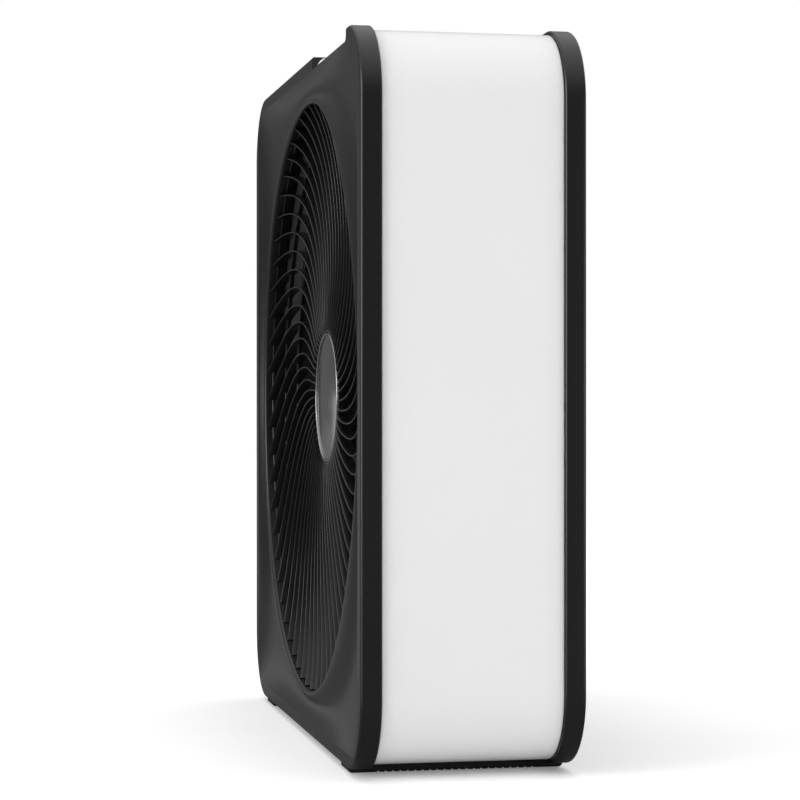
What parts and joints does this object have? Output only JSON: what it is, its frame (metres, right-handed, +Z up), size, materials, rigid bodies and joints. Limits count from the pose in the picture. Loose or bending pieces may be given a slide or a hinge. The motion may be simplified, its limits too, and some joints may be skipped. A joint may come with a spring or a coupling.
{
  "type": "box fan",
  "caption": "Square box fan with black bezels, a white side band, a swept-vane front grille, a top speed knob and foot rails.",
  "frame": {"origin": "middle of the footprint, on the surface that the foot rails rest on", "axes": "+Z up; the front grille faces -Y and the fan turns about an axis parallel to Y; +X is the side with the speed knob"},
  "size_m": [0.52, 0.159, 0.524],
  "materials": {
    "black_plastic": "fine satin texture",
    "white_plastic": "smooth satin gloss",
    "dark_chrome": "dark polished",
    "bright_trim": "polished",
    "grey_plastic": "smooth",
    "knob_plastic": "satin",
    "steel": "zinc plated",
    "motor_casting": "die cast",
    "core_steel": "laminated",
    "copper": "enamelled wire",
    "bronze": "sintered",
    "switch_plastic": "moulded",
    "lead_rubber": "flexible",
    "foot_rubber": "matt"
  },
  "bodies": {
    "housing": {"front_bezel": "black_plastic", "rear_bezel": "black_plastic", "front_grille": "black_plastic", "rear_grille": "black_plastic", "control_box": "black_plastic", "side_band": "white_plastic", "control_deck": "white_plastic", "hub_cap": "dark_chrome", "hub_trim_ring": "bright_trim", "shroud": "grey_plastic", "motor_bracket": "steel", "motor_bolts": "steel", "housing_screws": "steel", "grille_screws": "steel", "rear_grille_screws": "steel", "bracket_screws": "steel", "control_box_screws": "steel", "motor_front_bell": "motor_casting", "motor_rear_bell": "motor_casting", "stator_core": "core_steel", "stator_windings": "copper", "front_bearing": "bronze", "rear_bearing": "bronze", "speed_switch": "switch_plastic", "capacitor": "switch_plastic", "terminal_block": "switch_plastic", "supply_lead": "lead_rubber", "motor_lead": "lead_rubber", "cord_gland": "lead_rubber", "foot_rail_left": "foot_rubber", "foot_rail_right": "foot_rubber"},
    "rotor": {"fan_blade": "grey_plastic", "blade_nut": "grey_plastic", "motor_shaft": "steel", "rotor_core": "core_steel", "thrust_washers": "steel"},
    "speed_control": {"control_knob": "knob_plastic", "switch_spindle": "steel"}
  },
  "joints": [
    {"name": "blade_spin", "type": "hinge", "parent": "housing", "child": "rotor", "pos_m": [0, 0, 0.264], "axis": [0, -1, 0], "continuous": true},
    {"name": "speed_knob", "type": "hinge", "parent": "housing", "child": "speed_control", "pos_m": [0.126, -0.012, 0.514], "axis": [0, 0, -1], "range_deg": [0, 135]}
  ]
}
